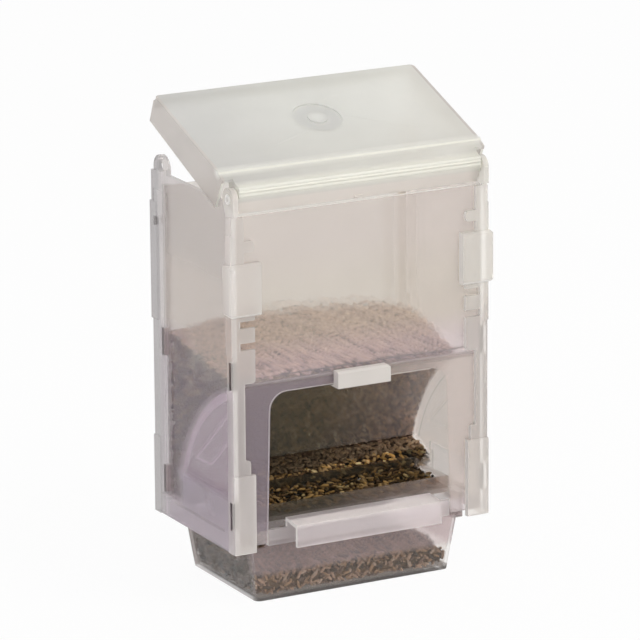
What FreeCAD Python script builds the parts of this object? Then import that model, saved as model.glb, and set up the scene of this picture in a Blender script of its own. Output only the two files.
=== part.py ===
import FreeCAD, Part
import os
from math import atan2, cos, pi, radians, sin, sqrt
from FreeCAD import Vector

# Hopper feeder for a bird cage. Millimetres, X to the right, Y to the back, Z up.
# Heights below are measured from the lower edge of the panels. At the end every
# piece is lifted by the drawer depth, so the origin is the foot of the drawer.

# Envelope
body_w = 130.0          # across the two side panels
body_d = 81.0           # depth of a side panel
side_h = 162.0          # top edge of a side panel
panel_foot = 2.5        # lower edge of the front and rear panels
drawer_drop = 27.0      # drawer foot below the panels

# Wall thicknesses and gaps
side_t = 2.5            # side panel
sheet_t = 1.6           # front, rear, baffle, trough and drawer walls
skirt_t = 1.3           # lid skirts
play = 0.3              # between mouldings that do not bear on each other
slide_gap = 0.5         # round the moving lid and drawer
pin_gap = 0.06          # radial, hinge pin in its ear
groove_gap = 0.15       # tongue in its slot, each side

# Corner flange of a side panel, with its tabs and wire notches
flange_set = 0.9        # flange face behind the front of the corner blocks
flange_t = 1.8
flange_w = 5.7
rim_w = 6.6             # raised strip along the front edge, seen from the side
rim_raise = 0.4
tab_w = 11.0            # reach of the long tabs from the outer side face
tab_high_z = 139.7
tab_high_h = 5.0
tab_band_z = 79.1       # the notched tab runs from here to the upper block
tab_low_h = 6.9
tab_low_w = 8.3
notch_z = (94.7, 104.8)
notch_h = 3.4
notch_root = 3.6        # plastic left outside a notch
block_up_z = 110.6
block_up_h = 24.2
block_up_w = 13.5
block_up_raise = 2.1
block_low_h = 36.6
block_low_w = 10.3
block_low_raise = 0.6
sleeve_z = 92.4         # thicker edge zone on either side of the upper block
sleeve_h = 55.4
sleeve_raise = 0.9
fin_w = 6.0             # thicker zone along the rear edge

# Ears on top of a side panel
hinge_ear_r = 5.2
hang_ear_r = 6.4
ear_rise = 2.0          # ear centres above the side panel
hinge_in = 4.5          # hinge axis behind the front edge
hang_in = 9.2           # hanging ear ahead of the rear edge
hang_r = 2.9
hang_lift = 1.4         # hanging hole above the ear centre
pin_r = 2.4
strip_z = 140.7         # raised strip under the hanging ear
strip_h = 13.0
tab_r = 1.6             # rounding of the tab corners
strip_raise = 0.5
peep_h = 4.0            # small slot beside that strip
peep_w = 1.2

# Tongues of the front and rear panels, through slots in the side panels
tongue_z = (11.2, 76.5)
tongue_h = 12.7
tongue_short = 0.9      # tongue end below the outer face
rear_set = 10.3         # rear panel face ahead of the rear edge
stop_w = 3.0            # rib behind the rear panel

# Arched window
win_in = 17.5           # foot of the window inside the outer side face
win_lean = 2.0          # each side draws in by this much towards the top
win_top = 72.5
win_r = 8.5

# Curved baffle over the feeding niche, with its hook over the window edge and a
# cheek at each end
baffle_r = 76.6
baffle_over = 3.5       # upper end above the window
baffle_low = 23.0
baffle_gap = 9.4        # lower edge ahead of the rear panel
hook_w = 27.0
hook_h = 7.8
hook_t = 4.4
hook_web = 1.2
niche_t = 1.2           # cheek
arch_w = 4.4            # raised band on the cheek along the arc
arch_h = 0.9
pocket_far = 9.7        # slanted pocket ribs on the cheek, below the arc
pocket_near = 21.8
pocket_angles = (69.0, 29.0, 37.0, 63.0)
pocket_w = 1.2
pocket_h = 0.8

# Feeding trough
floor_top = 10.2
trough_in = 14.5        # front wall behind the front edge of the panels
wall_h = 5.9
divider_in = 31.0       # divider behind the front wall
divider_h = 6.6
divider_w = 111.0
divider_r = 4.0
chute_w = 9.5           # sloping strip at each end, ahead of the divider

# Drawer, its rails, front band and pull lip
drawer_in = 12.4        # foot of the drawer inside the inner side face
foot_in = 9.9           # foot behind the front edge of the panels
foot_back = 7.1         # foot ahead of the rear edge of the panels
foot_r = 3.0
draft = 0.13
rim_drop = 0.7          # drawer flange below the panels
rail_t = 1.6
rail_grip = 3.0         # flange carried by the rail foot
rail_in = 12.5          # front end of a rail behind the front edge
rail_back = 2.5         # rear end of a rail ahead of the rear edge
band_gap = 0.7          # front band inside the window
band_foot = 1.0
band_top = 8.5
band_set = 0.8          # band face behind the face of the front panel
lip_in = 10.1           # end of the lip inside the window
lip_reach = 9.8
lip_top = 12.8
lip_foot = 1.3
lip_fall = 1.0

# Lid, drawn shut and then opened about the hinge axis
lid_open = 20.0
lid_back = 0.9          # rear edge of the lid ahead of the rear edge of the panels
fold_in = 14.1          # fold of the lid plate behind the front edge
fold_r = 1.5            # bead along the fold
fold_up = 0.45          # and its height over the plate
brow_fall = 2.6
brow_side = 5.0         # full width ahead of the fold, behind the hinge ears
bead_r = 1.1
bead_drop = 3.2         # lower bead below the upper one
visor_out = 2.9         # front skirt ahead of the hinge axis
visor_drop = 6.4        # and below it
cheek_t = 1.8
cheek_back = 5.6        # cheek behind the hinge axis
skirt_front = 16.5
skirt_rear = 13.5
skirt_slant = 3.0
rear_lip_h = 6.0
corner_r = 2.5
roundel_in = 33.0       # behind the fold
roundel_r = 11.5
roundel_d = 0.8
boss_r = 4.6
nub_w = 4.0

# Seed as poured: the heap's middle, its rise to the back, its fall to the right,
# the drop of its dome at the sides and ends, and its twist between the corners
heap_over = 10.3        # middle of the heap above the baffle end
heap_rise = 7.1
heap_fall = 3.1
heap_side = 4.9
heap_end = 1.4
heap_twist = 1.9
trough_seed_h = 3.0
drawer_seed_h = 10.4    # with two sets of waves on top
wave_h = (1.2, 0.9)
wave_step = (66.0, 42.0)

out = body_w / 2
inn = out - side_t
front = -body_d / 2
rear = body_d / 2
flange_y = front + flange_set
panel_y = flange_y + flange_t
panel_in = panel_y + sheet_t
rear_y = rear - rear_set
hinge_y = front + hinge_in
hinge_z = side_h + ear_rise
hang_y = rear - hang_in
lid_z = hinge_z + hang_ear_r + slide_gap + sheet_t
panel_top = hinge_z - sqrt(visor_out ** 2 + visor_drop ** 2) - 2 * slide_gap
trough_y = front + trough_in
divider_y = trough_y + divider_in
floor_z = floor_top - sheet_t
low_y = rear_y - baffle_gap
win_half = out - win_in
baffle_top = win_top + baffle_over
foot_half = inn - drawer_in
chute_top = baffle_low - play
chute_back = divider_y + sheet_t
pour_top = baffle_low - 4 * play
pour_foot = floor_top + divider_h - play

# Centre of the baffle arc, from its two ends and its radius
half_chord = sqrt((low_y - panel_in) ** 2 + (baffle_low - baffle_top) ** 2) / 2
reach = sqrt(baffle_r ** 2 - half_chord ** 2) / (2 * half_chord)
arc_y = (panel_in + low_y) / 2 + (baffle_low - baffle_top) * reach
arc_z = (baffle_top + baffle_low) / 2 - (low_y - panel_in) * reach
arc_from = atan2(baffle_low - arc_z, low_y - arc_y)
arc_to = atan2(baffle_top - arc_z, panel_in - arc_y)

# Drawer walls lean outwards by the draft
rim_z = -rim_drop - sheet_t
foot_front = front + foot_in
foot_rear = rear - foot_back


def lean(z):
    return draft * (z + drawer_drop)


rail_x = foot_half + lean(rim_z) + slide_gap
web_x = rail_x + rail_grip + slide_gap


def box(x0, x1, y0, y1, z0, z1):
    return Part.makeBox(x1 - x0, y1 - y0, z1 - z0, Vector(x0, y0, z0))


def along_x(points, x0, x1):
    ring = [Vector(x0, y, z) for y, z in points]
    return Part.Face(Part.makePolygon(ring + ring[:1])).extrude(Vector(x1 - x0, 0, 0))


def along_y(points, y0, y1):
    ring = [Vector(x, y0, z) for x, z in points]
    return Part.Face(Part.makePolygon(ring + ring[:1])).extrude(Vector(0, y1 - y0, 0))


def rod_x(r, y, z, x0, x1):
    return Part.makeCylinder(r, x1 - x0, Vector(x0, y, z), Vector(1, 0, 0))


def on_arc(r, angle):
    return arc_y + r * cos(angle), arc_z + r * sin(angle)


def curved_sheet(r0, r1, x0, x1):
    mid = (arc_from + arc_to) / 2
    a, b, c = [Vector(x0, *on_arc(r0, t)) for t in (arc_from, mid, arc_to)]
    d, e, f = [Vector(x0, *on_arc(r1, t)) for t in (arc_to, mid, arc_from)]
    edges = [Part.Arc(a, b, c).toShape(), Part.makeLine(c, d),
             Part.Arc(d, e, f).toShape(), Part.makeLine(f, a)]
    return Part.Face(Part.Wire(edges)).extrude(Vector(x1 - x0, 0, 0))


def join(shapes):
    return shapes[0].fuse(shapes[1:]).removeSplitter()


def ear(y, r):
    head = rod_x(r, y, hinge_z, inn, out)
    return head.fuse(box(inn, out, y - r, y + r, side_h - r, hinge_z))


def tab(x0, z0, z1):
    plate = box(x0, out, flange_y, panel_y, z0, z1)
    ends = [e for e in plate.Edges
            if all(abs(v.X - x0) < 1e-6 for v in e.Vertexes)
            and abs(e.Vertexes[0].Z - e.Vertexes[1].Z) < 1e-6]
    return plate.makeFillet(tab_r, ends)


def bevelled(x0, x1, y0, y1, z0, z1, c):
    side = [(y0, z0 + c), (y0 + c, z0), (y1, z0), (y1, z1), (y0 + c, z1), (y0, z1 - c)]
    face = [(x0, z0), (x1 - c, z0), (x1, z0 + c), (x1, z1 - c), (x1 - c, z1), (x0, z1)]
    return along_x(side, x0, x1).common(along_y(face, y0, y1))


def rib_between(p, q, w, x0, x1):
    dy = q[0] - p[0]
    dz = q[1] - p[1]
    s = w / 2 / sqrt(dy * dy + dz * dz)
    n = (-dz * s, dy * s)
    e = (dy * s, dz * s)
    a = (p[0] - e[0], p[1] - e[1])
    b = (q[0] + e[0], q[1] + e[1])
    return along_x([(a[0] + n[0], a[1] + n[1]), (b[0] + n[0], b[1] + n[1]),
                    (b[0] - n[0], b[1] - n[1]), (a[0] - n[0], a[1] - n[1])], x0, x1)


def side_panel():
    block_up_top = block_up_z + block_up_h
    tab_x = out - tab_w
    flange_top = panel_top - play
    solid = [box(inn, out, flange_y, rear, 0, side_h), ear(hinge_y, hinge_ear_r),
             ear(hang_y, hang_ear_r)]
    # front flange with its tabs and the two corner blocks
    solid.append(box(out - flange_w, out, flange_y, panel_y, 0, flange_top))
    solid.append(tab(tab_x, tab_high_z, tab_high_z + tab_high_h))
    solid.append(tab(tab_x, tab_band_z, block_up_z + tab_r))
    solid.append(tab(out - tab_low_w, block_low_h - tab_r, block_low_h + tab_low_h))
    solid.append(bevelled(out - block_up_w, out + block_up_raise, flange_y - block_up_raise,
                          panel_y, block_up_z, block_up_top, block_up_raise / 2))
    solid.append(bevelled(inn, out + block_up_raise, flange_y - block_up_raise,
                          front + rim_w, block_up_z, block_up_top, block_up_raise / 2))
    solid.append(bevelled(out - block_low_w, out + block_low_raise, front,
                          panel_y, 0, block_low_h, block_low_raise / 2))
    # raised edge strips on the outer face
    solid.append(box(inn, out + rim_raise, flange_y, front + rim_w, 0, flange_top))
    for y0, y1 in ((flange_y, front + rim_w), (rear - fin_w, rear)):
        solid.append(box(inn, out + sleeve_raise, y0, y1, sleeve_z, sleeve_z + sleeve_h))
        solid.append(box(inn, out + block_low_raise, y0, y1, 0, block_low_h))
    solid.append(box(inn, out + strip_raise, hang_y - hang_ear_r, hang_y + hang_ear_r,
                     strip_z, strip_z + strip_h))
    # rib that the rear panel leans on
    solid.append(box(inn - stop_w, inn, rear_y + sheet_t, rear_y + 2 * sheet_t,
                     floor_z, panel_top))
    # shelf under the trough and the drawer rail hanging from it
    rail_front = front + rail_in
    rail_rear = rear - rail_back
    web_out = web_x + rail_t
    solid.append(box(web_x, inn, trough_y, rail_rear, floor_z - rail_t, floor_z))
    solid.append(box(web_x, web_out, rail_front, rail_rear, rim_z - rail_t, floor_z))
    solid.append(box(rail_x, web_out, rail_front, rail_rear, rim_z - rail_t, rim_z))
    solid.append(box(rail_x, web_out, rail_rear - rail_t, rail_rear, rim_z - rail_t, floor_z))
    shape = join(solid)
    # wire notches, tongue slots, hinge hole and hanging hole
    far = out + block_up_raise + 1
    cuts = []
    for z in notch_z:
        cuts.append(box(tab_x - 1, out - notch_root, flange_y - 1, panel_y + 1, z, z + notch_h))
    for z in tongue_z:
        for y in (panel_y, rear_y):
            cuts.append(box(inn - 1, far, y - groove_gap, y + sheet_t + groove_gap,
                            z - groove_gap, z + tongue_h + groove_gap))
    peep_y = hang_y + hang_ear_r - peep_w
    cuts.append(box(inn - 1, far, peep_y, peep_y + peep_w, strip_z - peep_h, strip_z))
    cuts.append(rod_x(pin_r + pin_gap, hinge_y, hinge_z, inn - 1, far))
    cuts.append(rod_x(hang_r, hang_y, hinge_z + hang_lift, inn - 1, far))
    return shape.cut(cuts).removeSplitter()


def window():
    z0 = panel_foot - 1
    half_top = win_half - win_lean
    ring = along_y([(-win_half, z0), (win_half, z0), (half_top, win_top), (-half_top, win_top)],
                   panel_y - 1, panel_in + 1)
    corners = [e for e in ring.Edges
               if len(e.Vertexes) == 2
               and all(abs(v.Z - win_top) < 1e-6 for v in e.Vertexes)
               and abs(e.Vertexes[0].X - e.Vertexes[1].X) < 1e-6]
    return ring.makeFillet(win_r, corners)


def flat_panel(y, foot):
    edge = inn - play
    sheet = [box(-edge, edge, y, y + sheet_t, foot, panel_top)]
    for z in tongue_z:
        end = out - tongue_short
        sheet.append(box(-end, end, y, y + sheet_t, z, z + tongue_h))
    return join(sheet)


def front_panel():
    return flat_panel(panel_y, panel_foot).cut(window())


def rear_panel():
    # stands on the trough shelves, with an apron between the drawer rails
    edge = web_x - play
    apron = box(-edge, edge, rear_y, rear_y + sheet_t, panel_foot, floor_top)
    return join([flat_panel(rear_y, floor_z), apron])


def baffle():
    edge = inn - play
    half = hook_w / 2
    web_top = win_top - groove_gap
    web_foot = web_top - hook_web
    leg_in = panel_in + groove_gap
    sheet = curved_sheet(baffle_r, baffle_r + sheet_t, -edge, edge)
    # square end where the sheet meets the inside of the front panel
    top_edge = box(-edge, edge, panel_in, panel_in + sheet_t, baffle_top - sheet_t / 2,
                   baffle_top + sheet_t - play)
    leg = box(-half, half, leg_in, leg_in + sheet_t, web_foot, baffle_top + sheet_t / 2)
    web = box(-half, half, panel_y - hook_t, leg_in + sheet_t, web_foot, web_top)
    nose = bevelled(-half, half, panel_y - hook_t, panel_y, web_foot, web_foot + hook_h, 1.0)
    solid = [sheet, top_edge, leg, web, nose]
    # cheeks of the niche, each with a band along the arc and a slanted pocket of ribs
    face = edge - niche_t
    front_y = panel_in + play
    # ahead of the chute end the cheek stops above the chute, behind it just above the seed
    step_y = chute_back + play
    plate = along_x([(front_y, baffle_low), (step_y, baffle_low), (step_y, pour_foot + 2 * play),
                     (low_y, pour_top + 2 * play), (low_y, baffle_top), (front_y, baffle_top)],
                    face, edge)
    plate = plate.common(rod_x(baffle_r + sheet_t / 2, arc_y, arc_z, face, edge))
    arch = curved_sheet(baffle_r - arch_w, baffle_r + sheet_t / 2, face - arch_h, edge)
    arch = arch.common(box(face - arch_h, edge, front_y, rear, baffle_low, baffle_top))
    radii = (baffle_r - pocket_far, baffle_r - pocket_far,
             baffle_r - pocket_near, baffle_r - pocket_near)
    corners = [on_arc(r, radians(a)) for r, a in zip(radii, pocket_angles)]
    cheek = [plate, arch]
    for p, q in zip(corners[:-1], corners[1:]):
        cheek.append(rib_between(p, q, pocket_w, face - pocket_h, edge))
    right = join(cheek)
    left = right.mirror(Vector(0, 0, 0), Vector(1, 0, 0))
    return join(solid + [right, left])


def trough():
    edge = inn - play
    back = rear_y - play
    wall_top = floor_top + wall_h
    half = divider_w / 2
    floor = [box(-edge, edge, trough_y, back, floor_z, floor_top)]
    floor.append(box(-edge, edge, trough_y, trough_y + sheet_t, floor_z, wall_top))
    bar_top = floor_top + divider_h
    bar = box(-half, half, divider_y, divider_y + sheet_t, floor_z, bar_top)
    ends = [e for e in bar.Edges
            if all(abs(v.Z - bar_top) < 1e-6 for v in e.Vertexes)
            and abs(e.Vertexes[0].X - e.Vertexes[1].X) < 1e-6]
    floor.append(bar.makeFillet(divider_r, ends))
    # sloping strips that keep seed off the side panels, closed behind by a gusset
    for s in (-1, 1):
        foot = edge - chute_w
        low = floor_top - sheet_t / 2
        strip = [(s * edge, chute_top), (s * foot, low), (s * (foot + sheet_t), low),
                 (s * edge, chute_top - sheet_t * 1.4)]
        floor.append(along_y(strip, trough_y, chute_back))
        gusset = [(s * edge, chute_top), (s * foot, low), (s * edge, low)]
        floor.append(along_y(gusset, divider_y, chute_back))
    return join(floor)


def rounded_ring(half_w, y0, y1, z, r):
    x0, x1 = -half_w, half_w
    k = r * (1 - sqrt(0.5))
    p = [Vector(x, y, z) for x, y in
         ((x0 + r, y0), (x1 - r, y0), (x1 - k, y0 + k), (x1, y0 + r), (x1, y1 - r),
          (x1 - k, y1 - k), (x1 - r, y1), (x0 + r, y1), (x0 + k, y1 - k), (x0, y1 - r),
          (x0, y0 + r), (x0 + k, y0 + k))]
    edges = [Part.makeLine(p[0], p[1]), Part.Arc(p[1], p[2], p[3]).toShape(),
             Part.makeLine(p[3], p[4]), Part.Arc(p[4], p[5], p[6]).toShape(),
             Part.makeLine(p[6], p[7]), Part.Arc(p[7], p[8], p[9]).toShape(),
             Part.makeLine(p[9], p[10]), Part.Arc(p[10], p[11], p[0]).toShape()]
    return Part.Wire(edges)


def tapered(inset, z0, z1):
    rings = []
    for z in (z0, z1):
        g = lean(z) - inset
        rings.append(rounded_ring(foot_half + g, foot_front - g, foot_rear + g, z,
                                  max(foot_r - inset, 0.6)))
    return Part.makeLoft(rings, True, True)


def drawer():
    top = -rim_drop
    shell = tapered(0, -drawer_drop, top)
    shell = shell.cut(tapered(sheet_t, sheet_t - drawer_drop, top + 1))
    neck_y = foot_front - lean(top)
    half = win_half - band_gap
    lip_half = win_half - lip_in
    band_y = panel_y + band_set
    solid = [shell]
    # flanges carried by the rails
    for s in (-1, 1):
        inner = foot_half + lean(rim_z) - sheet_t / 2
        xs = sorted((s * inner, s * (rail_x + rail_grip)))
        solid.append(box(xs[0], xs[1], neck_y + foot_r, rear - rail_back - rail_t - play,
                         rim_z, top))
    # front band inside the window, a step ahead of the front wall
    shelf_top = band_foot + sheet_t
    solid.append(box(-half, half, neck_y, neck_y + sheet_t, rim_z, shelf_top))
    solid.append(box(-half, half, band_y, neck_y + sheet_t, band_foot, shelf_top))
    solid.append(box(-half, half, band_y, band_y + sheet_t, band_foot, band_top))
    # pull lip, an upside-down channel on the band
    lip_y = band_y - lip_reach
    lip = [(band_y + sheet_t, band_top - sheet_t), (band_y + sheet_t, lip_top),
           (lip_y, lip_top - lip_fall), (lip_y, lip_foot), (lip_y + sheet_t, lip_foot),
           (lip_y + sheet_t, lip_top - lip_fall - sheet_t), (band_y, lip_top - sheet_t),
           (band_y, band_top - sheet_t)]
    solid.append(along_x(lip, -lip_half, lip_half))
    return join(solid)


def lid():
    half = out + slide_gap + skirt_t
    mid = inn - slide_gap * 2
    fold_y = front + fold_in
    back = rear - lid_back
    under = lid_z - sheet_t
    visor_y = hinge_y - visor_out
    visor_z = hinge_z - visor_drop
    brow_z = lid_z - brow_fall
    plate = box(-half, half, fold_y, back, under, lid_z)
    corners = [e for e in plate.Edges
               if abs(e.Vertexes[0].Z - e.Vertexes[1].Z) > 1
               and all(abs(v.Y - back) < 1e-6 for v in e.Vertexes)]
    solid = [plate.makeFillet(corner_r, corners)]
    # sloping brow and front skirt between the ears
    brow_y = visor_y + 1.6
    hood = [(fold_y + 1, lid_z), (fold_y, lid_z), (brow_y, brow_z), (visor_y, brow_z - 1.4),
            (visor_y, visor_z), (visor_y + sheet_t, visor_z),
            (visor_y + sheet_t, brow_z - sheet_t - 0.8), (brow_y + 1, brow_z - sheet_t),
            (fold_y + 1, under)]
    solid.append(along_x(hood, -mid, mid))
    side_y = fold_y - brow_side
    side_z = lid_z - brow_fall * brow_side / (fold_y - brow_y)
    shoulder = [(fold_y + 1, lid_z), (fold_y, lid_z), (side_y, side_z),
                (side_y, side_z - sheet_t), (fold_y + 1, under)]
    solid.append(along_x(shoulder, -half, half))
    solid.append(rod_x(fold_r, fold_y, lid_z + fold_up - fold_r, -half, half))
    solid.append(rod_x(bead_r, brow_y, brow_z - bead_r * 0.5, -mid, mid))
    solid.append(rod_x(bead_r, visor_y + bead_r * 0.6, brow_z - bead_drop, -mid, mid))
    solid.append(box(-nub_w / 2, nub_w / 2, visor_y - 0.6, visor_y + 0.2, visor_z, visor_z + 1.6))
    # cheeks and hinge pins
    cheek = [(fold_y, under + 0.4), (brow_y, brow_z - 0.6), (visor_y + 0.4, brow_z - 2),
             (visor_y + 0.4, visor_z), (hinge_y + cheek_back / 2, visor_z + 0.4),
             (hinge_y + cheek_back, hinge_z)]
    for s in (-1, 1):
        a, b = sorted((s * (mid - cheek_t), s * mid))
        solid.append(along_x(cheek, a, b))
        a, b = sorted((s * (mid - cheek_t), s * (out + 0.2)))
        pin = rod_x(pin_r, hinge_y, hinge_z, a, b)
        a, b = sorted((s * (out - 1), s * (out + 1)))
        solid.append(pin.cut(rod_x(pin_r / 2, hinge_y, hinge_z, a, b)))
        # side skirt outside the side panel
        wing = [(side_y, side_z), (fold_y, lid_z), (back - corner_r, lid_z), (back, lid_z - corner_r),
                (back + slide_gap, lid_z - skirt_rear), (fold_y - skirt_slant, lid_z - skirt_front)]
        a, b = sorted((s * (half - skirt_t), s * half))
        solid.append(along_x(wing, a, b))
    solid.append(box(-half + 1, half - 1, back - skirt_t, back, lid_z - rear_lip_h, lid_z - 0.4))
    shape = join(solid)
    dish = Part.makeCylinder(roundel_r, sheet_t, Vector(0, fold_y + roundel_in, lid_z - roundel_d))
    boss = Part.makeCylinder(boss_r, sheet_t, Vector(0, fold_y + roundel_in, lid_z - roundel_d))
    shape = shape.cut(dish.cut(boss))
    shape.rotate(Vector(0, hinge_y, hinge_z), Vector(1, 0, 0), lid_open)
    return shape


def space_above(height, half_x, half_y, nx, ny, top):
    # everything over a smooth surface drawn through a grid of heights, up to a level
    xs = [half_x * (2 * i / (nx - 1) - 1) for i in range(nx)]
    ys = [half_y * (2 * j / (ny - 1) - 1) for j in range(ny)]
    surface = Part.BSplineSurface()
    surface.interpolate([[Vector(x, y, height(x, y)) for y in ys] for x in xs])
    return surface.toShape().extrude(Vector(0, 0, top))


def heap_top(x, y):
    u = x / inn
    v = y / (rear_y - panel_in) * 2
    level = baffle_top + heap_over + heap_rise * v - heap_fall * u
    return level - heap_side * u * u - heap_end * v * v + heap_twist * u * v


def drawer_top(x, y):
    long_wave = wave_h[0] * sin(2 * pi * x / wave_step[0] + 0.6)
    cross_wave = wave_h[1] * sin(2 * pi * (y + 0.4 * x) / wave_step[1])
    return sheet_t + play - drawer_drop + drawer_seed_h + long_wave + cross_wave


def hopper_seed():
    edge = inn - play
    y0 = panel_in + play
    y1 = rear_y - play
    z0 = floor_top + play
    heap = box(-edge, edge, y0, y1, z0, panel_top)
    heap = heap.cut(space_above(heap_top, out, rear, 5, 5, side_h))
    under = rod_x(baffle_r + sheet_t + play, arc_y, arc_z, -edge - 1, edge + 1)
    wall_y = chute_back + play
    pour = along_x([(wall_y, z0), (y1, z0), (y1, pour_top), (low_y - play, pour_top),
                    (wall_y, pour_foot)], -edge, edge)
    return heap.cut(under).fuse(pour).removeSplitter()


def trough_seed():
    foot = inn - 2 * play - chute_w
    y0 = trough_y + sheet_t + play
    z0 = floor_top + play
    return box(-foot, foot, y0, divider_y - play, z0, z0 + trough_seed_h)


def drawer_seed():
    z0 = sheet_t + play - drawer_drop
    heap = tapered(sheet_t + play, z0, z0 + drawer_seed_h + sum(wave_h) + play)
    return heap.cut(space_above(drawer_top, out, rear, 21, 17, drawer_drop))


os.makedirs("parts", exist_ok=True)
right_side = side_panel()
pieces = {
    "right_side_panel": right_side,
    "left_side_panel": right_side.mirror(Vector(0, 0, 0), Vector(1, 0, 0)),
    "front_panel": front_panel(),
    "rear_panel": rear_panel(),
    "seed_baffle": baffle(),
    "feed_trough": trough(),
    "catch_drawer": drawer(),
    "lid": lid(),
    "hopper_seed": hopper_seed(),
    "trough_seed": trough_seed(),
    "drawer_seed": drawer_seed(),
}
for name, shape in pieces.items():
    shape.translate(Vector(0, 0, drawer_drop))
    solid = shape.Solids[0] if len(shape.Solids) == 1 else shape
    print(name, len(shape.Solids), shape.isValid(), round(shape.Volume), shape.BoundBox)
    solid.exportStep("parts/" + name + ".step")
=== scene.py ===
import bpy
import numpy as np
from math import cos, radians, sin
from mathutils import Matrix, Vector


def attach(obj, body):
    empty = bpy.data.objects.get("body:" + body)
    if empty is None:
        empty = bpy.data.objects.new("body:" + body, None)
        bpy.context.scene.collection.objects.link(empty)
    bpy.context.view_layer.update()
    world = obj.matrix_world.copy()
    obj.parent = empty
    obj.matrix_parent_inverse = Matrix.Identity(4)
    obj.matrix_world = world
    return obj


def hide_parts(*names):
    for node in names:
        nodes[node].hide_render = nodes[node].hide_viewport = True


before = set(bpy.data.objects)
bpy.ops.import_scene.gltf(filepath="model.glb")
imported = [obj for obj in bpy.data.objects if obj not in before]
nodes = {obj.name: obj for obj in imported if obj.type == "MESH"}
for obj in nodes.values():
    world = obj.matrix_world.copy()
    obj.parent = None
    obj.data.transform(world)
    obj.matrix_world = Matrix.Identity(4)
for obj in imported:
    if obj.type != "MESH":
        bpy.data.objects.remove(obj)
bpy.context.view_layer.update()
print("frame loaded:", ", ".join(sorted(nodes)))


def newMaterial(name):
    mat = bpy.data.materials.new(name)
    mat.use_nodes = True
    return mat, mat.node_tree, mat.node_tree.nodes["Principled BSDF"]


def put(tree, kind, **values):
    node = tree.nodes.new(kind)
    for key, value in values.items():
        setattr(node, key, value)
    return node


# a socket takes a link, a number or a colour
def feed(tree, socket, value):
    if isinstance(value, bpy.types.NodeSocket):
        tree.links.new(value, socket)
    else:
        socket.default_value = value if np.isscalar(value) else (*value, 1.0)


def noise(tree, vector, scale, detail=2.0, rough=0.5):
    node = put(tree, "ShaderNodeTexNoise")
    node.inputs["Scale"].default_value = scale
    node.inputs["Detail"].default_value = detail
    node.inputs["Roughness"].default_value = rough
    tree.links.new(vector, node.inputs["Vector"])
    return node.outputs["Fac"]


def mixColour(tree, fac, a, b, blend="MIX"):
    node = put(tree, "ShaderNodeMix", data_type="RGBA", blend_type=blend)
    feed(tree, node.inputs[0], fac)
    feed(tree, node.inputs[6], a)
    feed(tree, node.inputs[7], b)
    return node.outputs[2]


def maths(tree, operation, a, b, c=None, clamp=False):
    node = put(tree, "ShaderNodeMath", operation=operation, use_clamp=clamp)
    for socket, value in zip(node.inputs, (a, b, c)):
        if value is not None:
            feed(tree, socket, value)
    return node.outputs[0]


def mixValue(tree, fac, a, b):
    node = put(tree, "ShaderNodeMix", data_type="FLOAT")
    feed(tree, node.inputs[0], fac)
    feed(tree, node.inputs[2], a)
    feed(tree, node.inputs[3], b)
    return node.outputs[0]


# noises by scale, detail and roughness; mottle and spread are a gain and an offset on them
mould = {"cloud": (45.0, 3.0, 0.55), "grain": (900.0, 2.0, 0.6),
         "mottle": (2.4, -0.7), "spread": (0.06, -0.03), "zoneCloud": 0.95}


# moulded plastic: cloudy mottle in the colour, fine grain in the roughness
def makeMouldGroup():
    group = bpy.data.node_groups.new("mouldGrain", "ShaderNodeTree")
    for name, kind in (("Vector", "NodeSocketVector"), ("Tint", "NodeSocketColor"),
                       ("Cloud", "NodeSocketColor"), ("Rough", "NodeSocketFloat")):
        group.interface.new_socket(name, in_out="INPUT", socket_type=kind)
    for name, kind in (("Colour", "NodeSocketColor"), ("Roughness", "NodeSocketFloat"),
                       ("Mottle", "NodeSocketFloat")):
        group.interface.new_socket(name, in_out="OUTPUT", socket_type=kind)
    gin = group.nodes.new("NodeGroupInput")
    gout = group.nodes.new("NodeGroupOutput")
    cloud = noise(group, gin.outputs["Vector"], *mould["cloud"])
    grain = noise(group, gin.outputs["Vector"], *mould["grain"])
    mottle = maths(group, "MULTIPLY_ADD", cloud, *mould["mottle"], clamp=True)
    colour = mixColour(group, mottle, gin.outputs["Tint"], gin.outputs["Cloud"])
    wide = maths(group, "MULTIPLY_ADD", cloud, *mould["spread"])
    fine = maths(group, "MULTIPLY_ADD", grain, *mould["spread"])
    rough = maths(group, "ADD", maths(group, "ADD", wide, fine), gin.outputs["Rough"], clamp=True)
    group.links.new(colour, gout.inputs["Colour"])
    group.links.new(rough, gout.inputs["Roughness"])
    group.links.new(mottle, gout.inputs["Mottle"])
    return group


mouldGrain = makeMouldGroup()


# a zone of a piece with its own tint and veil: it holds within all its stretches, and rough is added there
def area(stretches, tint, veil, rough=0.0, centre=None):
    return {"stretches": stretches, "tint": tint, "veil": veil, "rough": rough, "centre": centre}


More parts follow.
